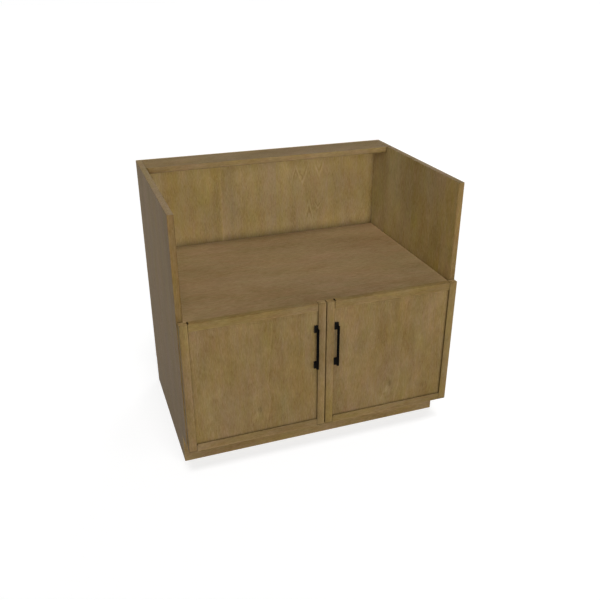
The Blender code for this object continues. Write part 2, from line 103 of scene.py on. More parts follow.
# Radius and height of the other screw heads, as shares of a cup screw's.
PLATE_SCREW = (1.15, 1.6)
ARM_SCREW = (0.95, 1.3)
PULL_SCREW = (1.25, 2.2)
# A screw head's top and rim as shares of its radius, the depth of its driver cross as a share of its height,
# and the cross's floor as a share of its mouth.
HEAD_TOP = 0.80
HEAD_RIM = 0.22
CROSS_DEPTH = 0.62
CROSS_FOOT = 0.72
# The driver cross: up to each angle from the middle of an arm, in degrees, the share of the radius it keeps.
CROSS_STEPS = ((16, 1.0), (31, 0.52), (46, 0.34))
# Edges that turn by more than this stay crisp.
CRISP_ANGLE = math.radians(38)

# Azimuth, elevation and spread of the lamps, in degrees.
LAMPS = {
    "front": (-2, 5, 9),
    "corner": (-42, 12, 40),
    "fill": (42, 12, 40),
    "ceiling": (-4, 70, 18),
    "rear": (140, 12, 30),
}
# Width of the camera's sensor, in millimetres.
SENSOR_WIDTH = 36.0


def colour_setting(label, words, value):
    return FloatVectorProperty(
        name=label, description=words, subtype="COLOR", size=3, min=0.0, max=1.0, default=value)


def length_setting(label, words, value):
    return FloatProperty(name=label, description=words, unit="LENGTH", min=0.0, precision=4, default=value)


def share_setting(label, words, value):
    return FloatProperty(name=label, description=words, subtype="FACTOR", min=0.0, max=4.0, default=value)


def spot_setting(label, words, value):
    return FloatVectorProperty(name=label, description=words, subtype="TRANSLATION", size=3, default=value)


class WoodSettings(bpy.types.PropertyGroup):
    """Colours and grain of the oak and the plywood, and sizes of the door rails' pockets."""

    door_oak: colour_setting("Door oak", "Mean colour of door frames and panels", (0.204, 0.137, 0.057))
    # Side oak is darker than the door oak: painted shade on the sides' outer faces.
    side_oak: colour_setting("Side oak", "Mean colour of the sides' outer faces", (0.178, 0.116, 0.048))
    # Bay oak is much paler than the door oak: painted light on the bay's inner faces.
    bay_oak: colour_setting("Bay oak", "Mean colour of the side panels' inner faces", (0.383, 0.277, 0.119))
    edge_oak: colour_setting("Edge oak", "Mean colour of the side panels' edges", (0.203, 0.131, 0.048))
    # Top oak is paler and greyer than the edges: a painted sheen on the tops.
    top_oak: colour_setting("Top oak", "Mean colour of the side panels' tops", (0.230, 0.162, 0.078))
    # Back oak and deck oak are paler than the door oak: painted light against the shade inside the box.
    back_oak: colour_setting("Back oak", "Mean colour of the back panel", (0.327, 0.232, 0.099))
    deck_oak: colour_setting("Deck oak", "Mean colour of the sink deck", (0.278, 0.190, 0.092))
    trim_oak: colour_setting("Trim oak", "Mean colour of top rail and toe kick", (0.204, 0.137, 0.057))
    birch: colour_setting("Birch plywood", "Mean colour of the hidden boards", (0.420, 0.300, 0.165))
    leaf: length_setting("Veneer leaf", "Width of one veneer leaf", 0.21)
    grain: share_setting("Grain contrast", "How strongly streaks and flecks show", 1.0)
    relief: share_setting("Pore relief", "How deep the open pores look", 0.25)
    pocket_width: length_setting("Pocket width", "Width of the skin behind a pocket", 0.0038)
    pocket_depth: length_setting("Pocket depth", "Height of the skin behind a pocket", 0.0082)
    pocket_skin: length_setting("Pocket skin", "Thickness of the skin behind a pocket", 0.0015)
    pocket_gap: length_setting("Pocket gap", "Gap between the skin and the stile", 0.0003)
    pocket_drop: length_setting("Pocket drop", "From the rail's top down to the skin", 0.0005)
    pocket_floor: length_setting("Pocket floor", "From the rail's top down to the pocket's floor", 0.009)


class HardwareSettings(bpy.types.PropertyGroup):
    """Colours of pulls, hinges and bumpers, and sizes of pull bars, screws and brads."""

    black: colour_setting("Pull black", "Powder coat of the pulls", (0.0031, 0.0030, 0.0029))
    nickel: colour_setting("Hinge nickel", "Plating of hinges and screws", (0.56, 0.545, 0.51))
    bumper: colour_setting("Bumper", "Soft pads on the door backs", (0.66, 0.67, 0.64))
    bar: length_setting("Pull bar", "Thickness of a pull's bar", 0.007)
    pull_spacing: length_setting("Pull spacing", "Distance between the two screws of a pull", 0.128)
    screw_head: length_setting("Screw head", "Radius of a cup screw's head", 0.0034)
    screw_rise: length_setting("Screw rise", "Height of a cup screw's head", 0.0009)
    cup_screw_spacing: length_setting("Cup screws", "Distance between the two screws of a cup", 0.048)
    plate_screw_spacing: length_setting("Plate screws", "Distance between the two screws of a plate", 0.032)
    arm_screw_spacing: length_setting("Arm screws", "Distance between the two screws of an arm", 0.024)
    plate_wing: length_setting("Plate wing", "Thickness of a mounting plate's wing", 0.002)
    brad_head: length_setting("Brad head", "Radius of a brad in the back panel", 0.0013)
    brad_length: length_setting("Brad length", "Length of a brad's modelled end", 0.0003)
    brad_rise: length_setting("Brad rise", "From the back's face out to the middle of that end", 0.0001)
    brad_pitch: length_setting("Brad pitch", "Distance between brads", 0.115)
    brad_end: length_setting("Brad end", "From the back's top and foot to the first brad", 0.03)
    brad_side: length_setting("Brad side", "From the back's sides to the first brad of a level row", 0.09)


class StudioSettings(bpy.types.PropertyGroup):
    """Camera, lamps and floor."""

    camera_place: spot_setting("Camera place", "Where the camera stands", (-0.7092, -2.04305, 1.4763))
    camera_aim: spot_setting("Camera aim", "The point the camera looks at", (0.027983, 0.015834, 0.407876))
    lens: FloatProperty(name="Lens", description="Focal length of the camera", unit="CAMERA", default=41.19)
    front_level: share_setting("Front lamp", "Light from straight ahead", 0.35)
    corner_level: share_setting("Corner lamp", "Light from the front left", 0.32)
    fill_level: share_setting("Fill lamp", "Light from the front right", 0.32)
    ceiling_level: share_setting("Ceiling lamp", "Light from above", 0.49)
    rear_level: share_setting("Rear lamp", "Light from the back right", 0.55)
    sky: share_setting("Sky level", "Light from all round", 0.09)
    floor_tone: share_setting("Floor tone", "Paleness of the floor", 0.35)
    floor_lift: share_setting("Floor lift", "Paleness that the camera adds to the floor", 0.75)
    floor_span: length_setting("Floor span", "Side of the square floor", 60.0)


class Signal:
    """A number inside a material; sums written on it become Math nodes."""

    def __init__(self, finish, socket):
        self.finish = finish
        self.socket = socket

    def work(self, operation, *values):
        node = self.finish.add("ShaderNodeMath", {"operation": operation}, dict(enumerate(values)))
        return Signal(self.finish, node.outputs[0])

    def __add__(self, other):
        return self.work("ADD", self, other)

    def __sub__(self, other):
        return self.work("SUBTRACT", self, other)

    def __rsub__(self, other):
        return self.work("SUBTRACT", other, self)

    def __mul__(self, other):
        return self.work("MULTIPLY", self, other)

    def __truediv__(self, other):
        return self.work("DIVIDE", self, other)

    def __rtruediv__(self, other):
        return self.work("DIVIDE", other, self)

    def __abs__(self):
        return self.work("ABSOLUTE", self)

    __radd__ = __add__
    __rmul__ = __mul__

    def above(self, level):
        return self.work("GREATER_THAN", self, level)

    def larger(self, other):
        return self.work("MAXIMUM", self, other)

    def floor(self):
        return self.work("FLOOR", self)

    def fraction(self):
        return self.work("FRACT", self)

    def ramp(self, low, high):
        """0 at low, 1 at high, held outside."""
        node = self.finish.add(
            "ShaderNodeMapRange", {"clamp": True}, {"Value": self, "From Min": low, "From Max": high})
        return Signal(self.finish, node.outputs["Result"])


class Nodes:
    """A node tree, with the one way in which nodes are added and joined."""

    def __init__(self, tree):
        self.tree = tree

    def add(self, kind, settings=None, sockets=None):
        node = self.tree.nodes.new(kind)
        for key, value in (settings or {}).items():
            setattr(node, key, value)
        for key, value in (sockets or {}).items():
            self.join(value, node.inputs[key])
        return node

    def join(self, value, socket):
        if isinstance(value, Signal):
            value = value.socket
        if isinstance(value, bpy.types.NodeSocket):
            self.tree.links.new(value, socket)
        else:
            socket.default_value = (*value, 1.0) if socket.type == "RGBA" else value

    def seen_by_eye(self):
        """1 for what the camera sees directly, in a reflection or through clear plastic."""
        path = self.add("ShaderNodeLightPath")
        camera, glossy, through = (
            Signal(self, path.outputs[f"Is {word} Ray"]) for word in ("Camera", "Glossy", "Transmission"))
        return camera.larger(glossy).larger(through)


class Finish(Nodes):
    """One material, with the few ways in which its patterns are made."""

    def __init__(self, name):
        self.material = bpy.data.materials.new(name)
        self.material.use_nodes = True
        super().__init__(self.material.node_tree)
        self.shader = self.tree.nodes["Principled BSDF"]

    @cached_property
    def coordinates(self):
        return self.add("ShaderNodeTexCoord")

    @cached_property
    def spot(self):
        """The place on the piece, as three signals."""
        return self.split(self.coordinates.outputs["Object"])

    @cached_property
    def facing(self):
        """The way in which the surface looks, as three signals."""
        return self.split(self.coordinates.outputs["Normal"])

    def feed(self, **sockets):
        """Joins values to the shader's sockets; an underscore stands for a space."""
        for key, value in sockets.items():
            self.join(value, self.shader.inputs[key.replace("_", " ")])

    def split(self, vector):
        node = self.add("ShaderNodeSeparateXYZ", sockets={"Vector": vector})
        return {axis: Signal(self, node.outputs[axis]) for axis in "XYZ"}

    def noise(self, x, y, z, detail=2.0, roughness=0.5):
        vector = self.add("ShaderNodeCombineXYZ", sockets={"X": x, "Y": y, "Z": z}).outputs[0]
        node = self.add("ShaderNodeTexNoise", {"noise_dimensions": "3D"}, {
            "Vector": vector, "Scale": 1.0, "Detail": detail, "Roughness": roughness})
        return Signal(self, node.outputs[0])

    def speckle(self, size, detail):
        """Noise of the same size all ways."""
        return self.noise(*(self.spot[axis] / size for axis in "XYZ"), detail)

    def chance(self, number):
        node = self.add("ShaderNodeTexWhiteNoise", {"noise_dimensions": "1D"}, {"W": number})
        return Signal(self, node.outputs["Value"])

    def blend(self, share, low, high):
        """A colour between two others, each written out or the socket of another blend."""
        node = self.add("ShaderNodeMix", {"data_type": "RGBA", "clamp_factor": True}, {
            "Factor": share, 6: low, 7: high})
        return node.outputs[2]

    def channels(self, colour):
        """Red, green and blue of a colour, as three signals."""
        node = self.add("ShaderNodeSeparateColor", sockets={0: colour})
        return [Signal(self, output) for output in node.outputs]

    def bump(self, height, strength, distance):
        node = self.add("ShaderNodeBump", sockets={
            "Height": height, "Strength": strength, "Distance": distance})
        self.feed(Normal=node.outputs[0])


def times(colour, *shares):
    """A colour with each part multiplied by its share."""
    return tuple(min(1.0, part * share) for part, share in zip(colour, shares))


class Oak(Finish):
    """Oak veneer: leaves side by side, with streaks, flecks and open pores, and marks of dark joints and of
    painted light and shade laid over them.

    along is the axis of the grain and across that of its width. start is where a leaf begins. bold, warmth
    and gilding are the strength of the figure and of its two drifts of hue, and arris is the tone that eased
    edges add: a painted highlight where it is above zero and painted shade where it is below. coarse and
    calm
    each pair a face with a share: the grain there is so many times as wide, or quieter by that share. A knot
    is its place across, its place along and its size.
    """

    def __init__(
            self, name, along, across, seed, start=0.0, bold=1.0, warmth=1.0, gilding=1.0, arris=0.40,
            coarse=None, calm=None, knots=()):
        super().__init__(name)
        wood = bpy.context.scene.cabinet_wood
        spot, facing = self.spot, self.facing
        self.through = ({"X", "Y", "Z"} - {along, across}).pop()
        self.seed = seed
        self.coarse = 1.0 + self.on(coarse[0]) * (coarse[1] - 1.0) if coarse else 1.0
        self.tone = OAK_TONE
        self.light = 1.0

        end_face = abs(facing[along]).above(0.6)
        run = spot[along] + end_face * (spot[across] - spot[along])
        width = spot[across] + end_face * (spot[along] - spot[across])
        for at_width, at_run, size in knots:
            width = self.knot(run, width, at_run, at_width, size)
        self.run = run
        self.width = width
        self.leaf_run = run
        broad = self.streak(length=0.30, breadth=0.060, shift=1.0, detail=1.0, roughness=0.35)
        cloud = self.streak(length=0.060, breadth=0.034, shift=5.0, detail=1.0)

        sheet = ((width - start) / wood.leaf).floor()
        lot = self.chance(sheet + seed)
        self.leaf_run = run + lot * LEAF_SHIFT
        band = self.streak(length=0.034, breadth=0.0060, shift=2.0, detail=3.0, roughness=0.62)
        fleck = self.streak(length=0.016, breadth=0.0023, shift=3.0, roughness=0.6)
        fine = self.streak(length=0.014, breadth=0.0014, shift=4.0)
        hair = self.streak(length=0.010, breadth=0.00055, shift=6.0, detail=1.0)
        pore = hair.ramp(0.06, 0.20) * (band + 0.75)
        figure = broad * 0.66 + band * 0.20 + fleck * 0.90 + fine * 0.56 + cloud * 0.42 + (lot - 0.5) * 0.10
        strength = wood.grain * bold
        if calm:
            strength = strength * (1.0 - self.on(calm[0]) * calm[1])
        # Eased edges take the arris tone: painted highlight above zero, painted shade below.
        squareness = abs(facing["X"]).larger(abs(facing["Y"])).larger(abs(facing["Z"]))
        eased = 1.0 - squareness.ramp(0.90, 0.97)
        self.tone = self.tone + figure * strength - pore * 0.34 + eased * arris

        narrow_warm = self.streak(length=0.030, breadth=0.009, shift=7.0)
        wide_warm = self.streak(length=0.14, breadth=0.06, shift=8.0)
        self.warm = (narrow_warm + wide_warm) * warmth
        narrow_gold = self.streak(length=0.040, breadth=0.010, shift=9.0)
        wide_gold = self.streak(length=0.20, breadth=0.09, shift=10.0)
        self.gold = (narrow_gold * 0.75 + wide_gold * 1.2) * gilding
        self.feed(Roughness=pore * 0.16 - band * 0.10 + 0.55, Specular_IOR_Level=0.05)
        self.bump(fine * 0.35 + fleck * 0.2 - pore * 0.9, wood.relief, distance=0.0003)

    def streak(self, length, breadth, shift, detail=2.0, roughness=0.5):
        """Noise drawn out along the grain, about zero."""
        breadth = breadth * self.coarse
        length = length * (self.coarse * 0.5 + 0.5)
        depth = self.spot[self.through] / breadth + (self.seed + shift)
        return self.noise(self.leaf_run / length, self.width / breadth, depth, detail, roughness) - 0.5

    def knot(self, run, width, at_run, at_width, size):
        """A pin knot: a dark heart, a curl of paler grain below it, and grain that parts round both."""
        across = (width - at_width) / size
        along = (run - at_run) / (size * 1.6)
        far = across * across + along * along
        heart = 1.0 - far.ramp(0.02, 0.11)
        lean = across * 0.75 - along * 0.66
        length = across * 0.66 + along * 0.75 + 0.95
        curl = 1.0 - (lean * lean * 7.0 + length * length * 1.5).ramp(0.1, 1.0)
        ripple = self.noise(lean * 4.0, length * 1.2, self.seed) - 0.42
        self.dim(heart * 0.19)
        self.tone = self.tone + curl * ripple * 1.5
        return width - (width - at_width) * (1.0 - far.ramp(0.0, 5.0)) * 0.5

    def flame(self, at_width, at_run, tall, wide, amount):
        """Pale, dark and pale growth rings that meet in a point, which hangs where tall is below zero."""
        sway = self.streak(length=0.022, breadth=0.010, shift=11.0)
        side = abs((self.width - at_width) / wide + sway * 0.5)
        down = (at_run - self.run) / tall + sway * 0.4
        ring = down - side * (side * 0.3 + 0.7)
        fade = (1.0 - down.larger(side).ramp(0.6, 1.2)) * (down + 0.35).above(0.0)
        for place, share in ((0.0, 1.0), (0.34, -0.8), (0.68, 0.6)):
            self.tone = self.tone + (1.0 - abs(ring - place).ramp(0.06, 0.26)) * fade * (share * amount)

    def vein(self, at_width, at_run, slope, amount):
        """A thin wandering pale streak along the grain, with a broader dark one on its lee."""
        sway = self.noise(self.run / 0.03, self.seed, 0.0) - 0.5
        off = self.width - at_width - (self.run - at_run) * slope - sway * 0.009
        line = 1.0 - abs(off / 0.0022).ramp(0.0, 1.0)
        lee = (off / 0.014).ramp(0.0, 0.2) * (1.0 - (off / 0.014).ramp(0.2, 1.0))
        self.tone = self.tone + line * amount - lee * amount * 0.6
        self.warm = self.warm + line * amount * 0.5

    def on(self, face):
        """1 on the faces that look one way, such as +X, and 0 on the others."""
        way = 1.0 if face[0] == "+" else -1.0
        return (self.facing[face[1]] * way).ramp(0.5, 0.9)

    def dim(self, share):
        """Takes away a share of the colour, or adds to it where the share is below zero."""
        self.light = self.light * (1.0 - share)

    def line(self, axis, at, reach, amount, face=None):
        """A darker band along a place, fading within its reach, and a paler one where the amount is below
        zero. It draws dark joints and grain streaks, painted shade in corners, recesses and under parts, and
        painted light where it is paler.
        """
        near = 1.0 - abs(self.spot[axis] - at).ramp(0.0, reach)
        self.dim(near * near * (self.on(face) if face else 1.0) * amount)

    def wash(self, axis, low, high, amount, face):
        """A face that grows paler from one place to another."""
        self.dim(self.spot[axis].ramp(low, high) * self.on(face) * -amount)

    def shade(self, face, amount):
        """Painted shade on the faces that look one way, and painted light where the amount is below zero; on
        some front faces it sets the board's own tone instead.
        """
        self.dim(self.on(face) * amount)

    def mellow(self, axis, low, high, amount, face):
        """Turns a face from cooler at one place to more golden at another."""
        rise = (self.spot[axis].ramp(low, high) - 0.5) * self.on(face) * amount
        self.gold = self.gold + rise
        self.warm = self.warm + rise * 1.5

    def coloured(self, colour, *others):
        """The finished material; others are pairs of a face, such as +X or edge, and the mean colour it
        takes instead: the taped edges' own colour, and lit and shaded copies of the oak as painted light and
        shade.
        """
        for face, other in others:
            share = 1.0 - abs(self.facing[self.through]).ramp(0.5, 0.9) if face == "edge" else self.on(face)
            colour = self.blend(share, colour, other)
        tone = self.tone.ramp(0.0, 1.0)
        hues = (self.warm * WARM_RED, self.warm * WARM_GREEN, self.gold * GOLD_BLUE)
        parts = [
            part * (dark + tone * (pale - dark)) * (1.0 + hue) * self.light
            for part, dark, pale, hue in zip(self.channels(colour), OAK_DARK, OAK_PALE, hues)]
        mixed = self.add("ShaderNodeCombineColor", sockets=dict(enumerate(parts)))
        self.feed(Base_Color=mixed.outputs[0])
        return self.material


def toward(way):
    """The name of the faces that look up or down the X axis."""
    return "+X" if way > 0 else "-X"


def middle(node):
    """The middle of a CAD node's box."""
    low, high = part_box(node)
    return (low + high) / 2


def door_opening(hand, inward):
    """The X places between which a door's panel shows."""
    hinge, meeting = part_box(hand + "_door_hinge_stile"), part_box(hand + "_door_meeting_stile")
    left, right = (hinge, meeting) if inward > 0 else (meeting, hinge)
    return left[1].x, right[0].x


def side_finish(wood, hand, inward):
    """Oak of a side panel: grey-brown outside, with taped edges and top; painted shade on the outer face, on
    the front edge by the door's top and inner arris, and in the bay's corners, painted light on the inner
    face and outer arris, and a painted sheen on the top.
    """
    inside, outside = toward(inward), toward(-inward)
    low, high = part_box(hand + "_side_panel")
    inner, outer = (high.x, low.x) if inward > 0 else (low.x, high.x)
    deck_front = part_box("sink_deck")[0].y
    deck_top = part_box("sink_deck")[1].z
    door_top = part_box("left_door_top_rail")[1].z
    back_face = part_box("back_panel")[0].y
    # From pale_from back, the inner face is painted paler: painted light against the shade toward the back.
    pale_from = -0.10
    side = Oak(
        "oak_side_" + hand, along="Z", across="Y", seed=5.5 - 2.5 * inward, arris=-0.20,
        coarse=(inside, 1.6), calm=(outside, 0.5))
    side.line("Z", deck_top, reach=0.035, amount=0.20, face=inside)
    side.line("Z", deck_top, reach=0.008, amount=0.16, face=inside)
    side.line("Y", back_face, reach=0.010, amount=0.06, face=inside)
    side.wash("Y", pale_from, back_face, amount=0.08, face=inside)
    side.mellow("Y", back_face, deck_front, amount=0.40, face=inside)
    side.wash("Z", 0.0, deck_top, amount=0.19, face=outside)
    side.shade(outside, amount=0.11)
    side.shade("-Y", amount=0.035 * inward)
    side.line("Z", door_top, reach=0.055, amount=0.32, face="-Y")
    side.line("X", inner, reach=0.0060, amount=0.26, face="-Y")
    side.line("X", outer, reach=0.0120, amount=-0.08, face="-Y")
    side.line("X", inner, reach=0.0070, amount=0.30 - 0.20 * inward, face="+Z")
    return side.coloured(
        wood.side_oak, (inside, wood.bay_oak), ("edge", wood.edge_oak), ("+Z", wood.top_oak))


def back_finish(wood):
    """Oak of the back panel: leaves with pointed growth rings, with painted shade at the deck and in the
    corners and painted light under the top rail.
    """
    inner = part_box("right_side_panel")[0].x
    deck_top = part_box("sink_deck")[1].z
    rail_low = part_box("back_top_rail")[0].z
    leaf_joint = -0.168
    # From pale_from up, the back is painted paler: painted light against the top rail's shade.
    pale_from = 0.76
    back = Oak("oak_back", along="Z", across="X", seed=5.0, start=leaf_joint, bold=0.9)
    for at_width, at_run, tall, wide, amount in BACK_FLAMES:
        back.flame(at_width, at_run, tall, wide, amount)
    for at, reach, amount in BACK_STREAKS:
        back.line("X", at, reach, amount, face="-Y")
    back.line("Z", deck_top, reach=0.045, amount=0.55, face="-Y")
    back.wash("Z", deck_top, rail_low, amount=0.04, face="-Y")
    back.wash("Z", pale_from, rail_low, amount=0.25, face="-Y")
    back.line("X", inner, reach=0.030, amount=0.34, face="-Y")
    back.line("X", -inner, reach=0.030, amount=0.12, face="-Y")
    return back.coloured(wood.back_oak)


def deck_finish(wood):
    """Oak of the sink deck: quiet broad grain, with painted light at the walls and the back and painted
    shade at the front edge.
    """
    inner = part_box("right_side_panel")[0].x
    deck_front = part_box("sink_deck")[0].y
    back_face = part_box("back_panel")[0].y
    deck = Oak(
        "oak_deck", along="X", across="Y", seed=14.0, bold=0.72, warmth=1.1, gilding=0.25,
        coarse=("+Z", 1.6))
    deck.line("X", 0.0, reach=0.25, amount=0.02, face="+Z")
    deck.line("Y", back_face, reach=0.022, amount=-0.18, face="+Z")
    for end in (-inner, inner):
        deck.line("X", end, reach=0.050, amount=-0.38, face="+Z")
        deck.line("X", end, reach=0.012, amount=-0.25, face="+Z")
    deck.wash("Y", 0.0, deck_front, amount=-0.09, face="+Z")
    deck.wash("X", 0.0, -inner, amount=0.060, face="+Z")
    deck.line("Y", deck_front, reach=0.014, amount=0.20, face="+Z")
    deck.shade("-Y", amount=0.20)
    return deck.coloured(wood.deck_oak)


def top_rail_finish(wood):
    """Oak of the rail at the back's top, with a painted shadow line along its foot, dark joint lines at its
    ends and a top in painted shade.
    """
    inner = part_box("right_side_panel")[0].x
    rail_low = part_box("back_top_rail")[0].z
    rail = Oak("oak_top_rail", along="X", across="Y", seed=17.0, arris=0.0)
    rail.shade("+Z", amount=0.16)
    rail.wash("X", 0.0, -inner, amount=0.16, face="+Z")
    rail.line("Z", rail_low, reach=0.0040, amount=0.50)
    rail.line("X", -inner, reach=0.0035, amount=0.12)
    rail.line("X", inner, reach=0.0035, amount=0.55)
    return rail.coloured(wood.trim_oak)


def toe_kick_finish(wood):
    """Oak of the toe-kick board, with painted light on its face and toward the floor and painted shade under
    the doors.
    """
    door_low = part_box("left_door_bottom_rail")[0].z
    toe = Oak("oak_toe_kick", along="X", across="Z", seed=19.0)
    toe.shade("-Y", amount=-0.09)
    toe.line("Z", 0.0, reach=0.020, amount=-0.13, face="-Y")
    toe.line("Z", door_low, reach=0.006, amount=0.08, face="-Y")
    return toe.coloured(wood.trim_oak)


def stile_finish(wood, hand, inward, word):
    """Oak of a door's upright, with painted shade on its edges, in the recess and along the top and foot of
    its face, and a top in painted light.
    """
    low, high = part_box(f"{hand}_door_{word}")
    is_hinge = word == "hinge_stile"
    way = inward if is_hinge else -inward
    stile = Oak(
        f"oak_{hand}_{word}", along="Z", across="X", seed=(31.0 if is_hinge else 33.0) + inward, arris=-0.20)
    stile.shade("-Y", amount=0.11 if is_hinge else 0.09)
    stile.wash("X", low.x, high.x, amount=0.24, face="-Y")
    if is_hinge:
        stile.shade(toward(-way), amount=0.20)
        stile.line("Z", low.z, reach=0.14, amount=0.34, face=toward(-way))
    stile.shade(toward(way), amount=0.46)
    stile.shade("+Z", amount=-0.38)
    stile.line("Z", high.z, reach=0.0050, amount=0.40, face="-Y")
    stile.line("Z", low.z, reach=0.0055, amount=0.80, face="-Y")
    return stile.coloured(wood.door_oak)


def door_rail_finish(wood, hand, inward, word):
    """Oak of a door's top or bottom rail, dark at its joints to the stiles, with painted shade in the top
    one's pocket, on the bottom one's ledge and along the top of each face, painted light on the top one's
    top and a painted highlight along its foot.
    """
    low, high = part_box(f"{hand}_door_{word}")
    opening = door_opening(hand, inward)
    is_top = word == "top_rail"
    rail = Oak(
        f"oak_{hand}_{word}", along="X", across="Z", seed=(43.0 if is_top else 41.0) + inward,
        arris=-0.35 if is_top else 0.40)
    for end in opening:
        rail.line("X", end, reach=0.0035, amount=0.62)
    rail.line("Z", low.z, reach=0.0060, amount=-0.30, face="-Y")
    if is_top:
        rail.shade("+Z", amount=-0.12)
        rail.line("Z", high.z, reach=0.0030, amount=0.22, face="-Y")
        rail.line("X", opening[0], reach=0.045, amount=-0.14, face="+Z")
        rail.line("Z", high.z - wood.pocket_floor, reach=0.0060, amount=0.90, face="+Z")
        rail.shade("-X", amount=0.75)
    else:
        rail.shade("+Z", amount=0.38)
        rail.line("Z", high.z, reach=0.0050, amount=0.16, face="-Y")
        rail.shade("-Y", amount=0.075)
    return rail.coloured(wood.door_oak)


def panel_finish(wood, hand, inward):
    """Oak of a door panel: a pin knot, a pale vein, painted shade along its frame and painted light just
    inside it, alike on both doors.
    """
    left, right = door_opening(hand, inward)
    door_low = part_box(hand + "_door_bottom_rail")[0].z
    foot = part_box(hand + "_door_bottom_rail")[1].z
    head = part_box(hand + "_door_top_rail")[0].z
    foot_line, head_line = foot - 0.0035, head - 0.003
    leaf_joint = left - 0.06
    knot_across, knot_up, knot_size = PANEL_KNOT
    panel = Oak(
        "oak_panel_" + hand, along="Z", across="X", seed=51.0, start=leaf_joint, bold=0.93,
        knots=[(left + knot_across, door_low + knot_up, knot_size)])
    panel.vein(at_width=left + 0.2430, at_run=0.36, slope=0.085, amount=0.16)
    panel.wash("Z", foot, head, amount=0.080, face="-Y")
    panel.shade("-Y", amount=0.040)
    for at, reach, amount in PANEL_STREAKS:
        panel.line("X", left + at, reach, amount, face="-Y")
    panel.line("X", left, reach=0.0032, amount=0.36, face="-Y")
    panel.line("X", left, reach=0.018, amount=-0.11, face="-Y")
    panel.line("X", right, reach=0.0060, amount=0.32, face="-Y")
    panel.line("Z", head_line, reach=0.0030, amount=0.16, face="-Y")
    panel.line("Z", head, reach=0.032, amount=-0.26, face="-Y")
    panel.line("Z", foot, reach=0.0085, amount=0.32, face="-Y")
    panel.line("Z", foot_line, reach=0.0040, amount=0.85, face="-Y")
    return panel.coloured(wood.door_oak)


def plywood(name, colour, along, through, seed):
    """Pale plywood: a quiet face veneer, and its plies showing on the edges."""
    wood = bpy.context.scene.cabinet_wood
    finish = Finish(name)
    spot = finish.spot
    across = ({"X", "Y", "Z"} - {along, through}).pop()
    edge = 1.0 - abs(finish.facing[through]).ramp(0.4, 0.6)
    ply_pair = 0.0029

    def streak(length, breadth, shift, detail=2.0):
        depth = spot[through] / breadth + (seed + shift)
        return finish.noise(spot[along] / length, spot[across] / breadth, depth, detail) - 0.5

    band = streak(length=0.16, breadth=0.011, shift=1.0, detail=3.0)
    fine = streak(length=0.04, breadth=0.0018, shift=2.0)
    flake = streak(length=0.006, breadth=0.002, shift=3.0)
    ply = (spot[through] / ply_pair).fraction().above(0.5)
    tone = band * 0.55 + fine * 0.30 + 0.55 - edge * (ply * 0.42 + flake * 0.45 - 0.05)
    finish.feed(
        Base_Color=finish.blend(tone, times(colour, 0.55, 0.48, 0.40), times(colour, 1.25, 1.25, 1.25)),
        Roughness=edge * 0.12 - fine * 0.08 + 0.55,
        Specular_IOR_Level=0.35)
    finish.bump(fine * 0.5 - edge * ply * 0.3, wood.relief, distance=0.0002)
    return finish.material


def powder_coat(name, colour, front, back):
    """Satin black powder coat with the faint orange peel of the oven, its flanks and feet paler with painted
    sheen.
    """
    finish = Finish(name)
    flank = abs(finish.facing["X"])
    foot = finish.spot["Y"].ramp(front, back)
    peel = finish.speckle(size=0.0011, detail=2.0)
    rub = finish.speckle(size=0.018, detail=3.0)
    # Random mottle, with painted sheen on the flanks and feet.
    mottle_and_sheen = rub * 0.15 + flank * 0.5 + foot * 0.6
    finish.feed(
        Base_Color=finish.blend(mottle_and_sheen, times(colour, 0.2, 0.2, 0.2), times(colour, 4.6, 4.5, 4.4)),
        Roughness=peel * 0.14 + rub * 0.12 + 0.40,
        Specular_IOR_Level=0.012)
    finish.bump(peel, strength=0.12, distance=0.0002)
    return finish.material


def plated_steel(name, colour):
    """Nickel plate on pressed steel: draw lines along the sheet and a slightly cloudy shine."""
    finish = Finish(name)
    spot = finish.spot
    line_width, line_length = 0.0006, 0.02
    draw = finish.noise(spot["X"] / line_width, spot["Y"] / line_length, spot["Z"] / line_width)
    cloud = finish.speckle(size=0.012, detail=3.0)
    finish.feed(
        Base_Color=finish.blend(cloud, times(colour, 0.82, 0.82, 0.81), times(colour, 1.12, 1.12, 1.12)),
        Roughness=draw * 0.12 + cloud * 0.16 + 0.16,
        Metallic=1.0)
    finish.bump(draw, strength=0.08, distance=0.0001)
    return finish.material


def soft_plastic(name, colour):
    """Milky bumper plastic, a little cloudy inside."""
    finish = Finish(name)
    cloud = finish.speckle(size=0.004, detail=3.0)
    finish.feed(
        Base_Color=finish.blend(cloud, times(colour, 0.85, 0.86, 0.86), times(colour, 1.15, 1.14, 1.12)),
        Roughness=cloud * 0.15 + 0.28,
        Transmission_Weight=0.25)
    finish.bump(cloud, strength=0.05, distance=0.0002)
    return finish.material


def dress(material, *nodes):
    """Puts a finish in every slot of the named CAD nodes."""
    for node in nodes:
        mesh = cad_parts[node].data
        mesh.materials.clear()
        mesh.materials.append(material)


def add_piece(name, shape, material, body):
    """A new piece with its place in its mesh, riding on a CAD body."""
    bmesh.ops.recalc_face_normals(shape, faces=shape.faces)
    mesh = bpy.data.meshes.new(name)
    shape.to_mesh(mesh)
    shape.free()
    mesh.materials.append(material)
    mesh.set_sharp_from_angle(angle=CRISP_ANGLE)
    piece = bpy.data.objects.new(name, mesh)
    bpy.context.scene.collection.objects.link(piece)
    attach(piece, body)
    return piece


def aim(shape, verts, facing):
    """Turns what was modelled upright so that its top faces another way."""
    bmesh.ops.rotate(shape, verts=verts, matrix=UP.rotation_difference(Vector(facing)).to_matrix())


